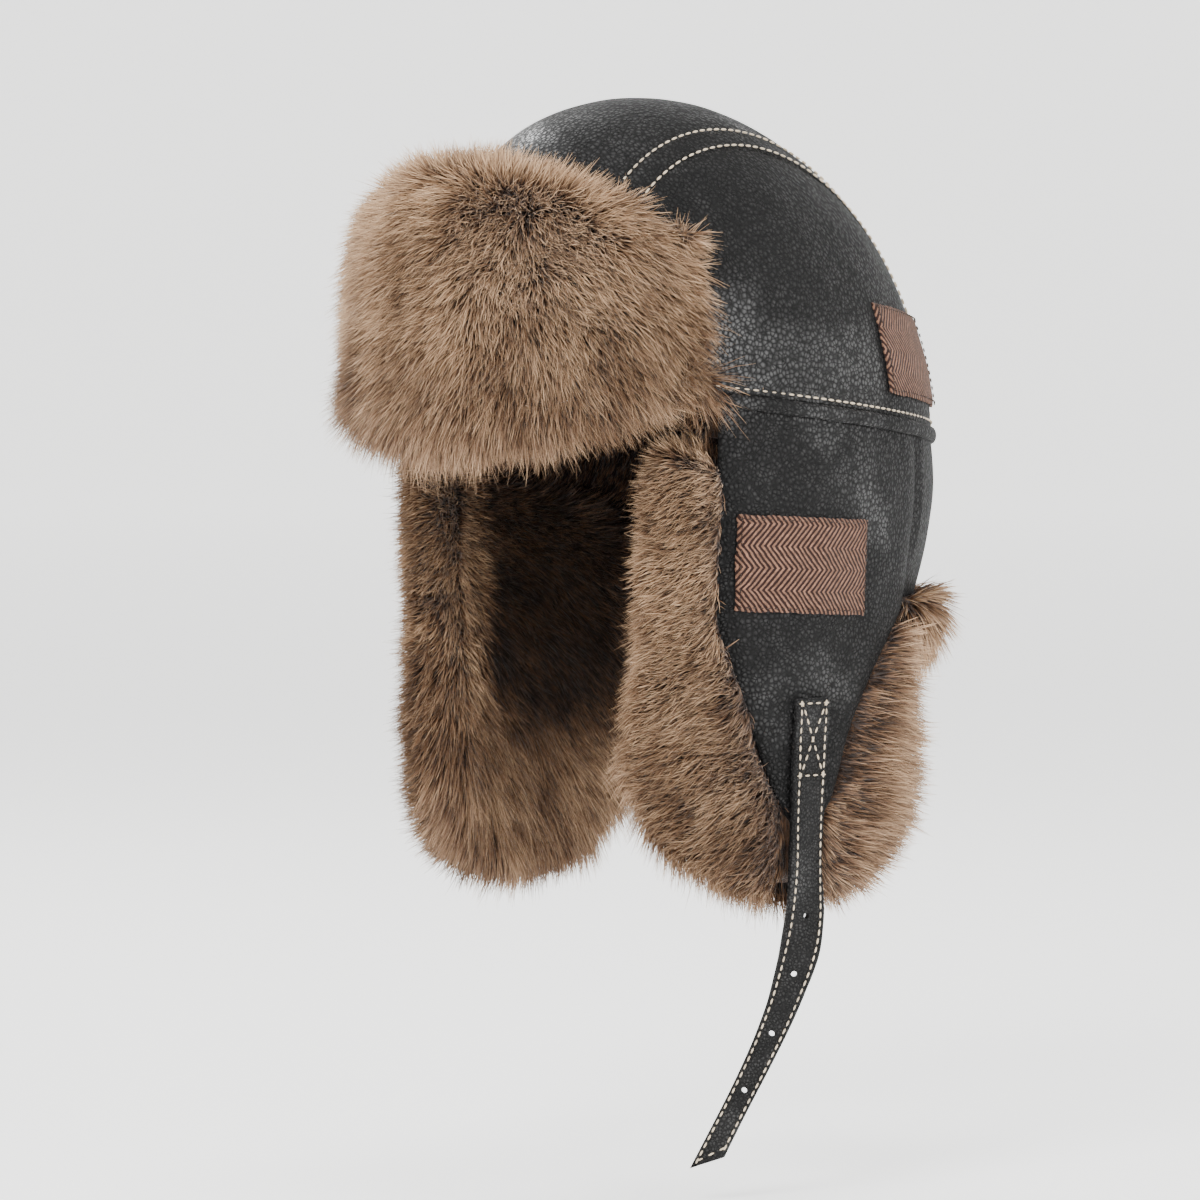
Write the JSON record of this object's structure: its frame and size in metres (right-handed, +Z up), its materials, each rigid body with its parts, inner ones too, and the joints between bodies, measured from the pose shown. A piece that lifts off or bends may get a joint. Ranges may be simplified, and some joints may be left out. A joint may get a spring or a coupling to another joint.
{
  "type": "trapper hat",
  "caption": "Leather trapper hat with a fur visor turned up at the brow, fur-lined ear flaps, a punched chin strap and its buckle.",
  "frame": {"origin": "centre of the head opening at the level of the hatband", "axes": "+Z up, the wearer faces -Y, the wearer's left side is +X"},
  "size_m": [0.1941, 0.259, 0.4198],
  "materials": {
    "black_leather": "satin",
    "strap_leather": "satin",
    "thread": "matte",
    "fur": "matte",
    "wadding": "matte",
    "lining": "satin",
    "sweatband": "matte",
    "tweed": "matte",
    "metal": "satin"
  },
  "bodies": {
    "crown": {"crown_centre_panel": "black_leather", "crown_side_panel_left": "black_leather", "crown_side_panel_right": "black_leather", "seam_strip_left": "black_leather", "seam_strip_right": "black_leather", "seam_stitching_left": "thread", "seam_stitching_right": "thread", "crown_wadding": "wadding", "crown_lining": "lining", "sweatband": "sweatband", "hatband_lip": "black_leather", "hatband_stitching": "thread", "rear_crown_patch": "tweed", "rear_patch_stitching": "thread", "neck_curtain": "black_leather", "nape_fur": "fur"},
    "visor": {"visor_leather": "black_leather", "visor_padding": "wadding", "visor_fur": "fur"},
    "left_flap": {"left_flap_leather": "black_leather", "left_flap_wadding": "wadding", "left_flap_fur": "fur", "left_flap_patch": "tweed", "left_patch_stitching": "thread", "chin_strap_sewn_end": "strap_leather", "strap_box_stitching": "thread"},
    "chin_strap": {"chin_strap_tail": "strap_leather", "tail_edge_stitching": "thread"},
    "right_flap": {"right_flap_leather": "black_leather", "right_flap_wadding": "wadding", "right_flap_fur": "fur", "buckle_tab_sewn_end": "strap_leather", "tab_stitching": "thread"},
    "tab": {"buckle_tab": "strap_leather", "keeper_loop": "strap_leather"},
    "buckle": {"buckle_frame": "metal", "buckle_bar": "metal"},
    "prong": {"buckle_prong": "metal"}
  },
  "joints": [
    {"name": "visor_fold", "type": "hinge", "parent": "crown", "child": "visor", "pos_m": [0, -0.1138, 0.0018], "axis": [1, 0, 0], "range_deg": [0, 100]},
    {"name": "left_flap_fold", "type": "hinge", "parent": "crown", "child": "left_flap", "pos_m": [0.0945, 0, -0.028], "axis": [0, -0.9659, 0.2588], "range_deg": [0, 155]},
    {"name": "right_flap_fold", "type": "hinge", "parent": "crown", "child": "right_flap", "pos_m": [-0.0945, 0, -0.028], "axis": [0, 0.9659, -0.2588], "range_deg": [0, 155]},
    {"name": "chin_strap_swing", "type": "hinge", "parent": "left_flap", "child": "chin_strap", "pos_m": [0.0884, -0.018, -0.1925], "axis": [0, 1, 0], "range_deg": [-60, 65]},
    {"name": "tab_swing", "type": "hinge", "parent": "right_flap", "child": "tab", "pos_m": [-0.0914, -0.018, -0.1361], "axis": [0, 1, 0], "range_deg": [0, 90]},
    {"name": "buckle_tilt", "type": "hinge", "parent": "tab", "child": "buckle", "pos_m": [-0.0914, -0.018, -0.1525], "axis": [0, 1, 0], "range_deg": [0, 55]},
    {"name": "prong_swing", "type": "hinge", "parent": "buckle", "child": "prong", "pos_m": [-0.0914, -0.018, -0.1525], "axis": [0, 1, 0], "range_deg": [0, 45]}
  ]
}
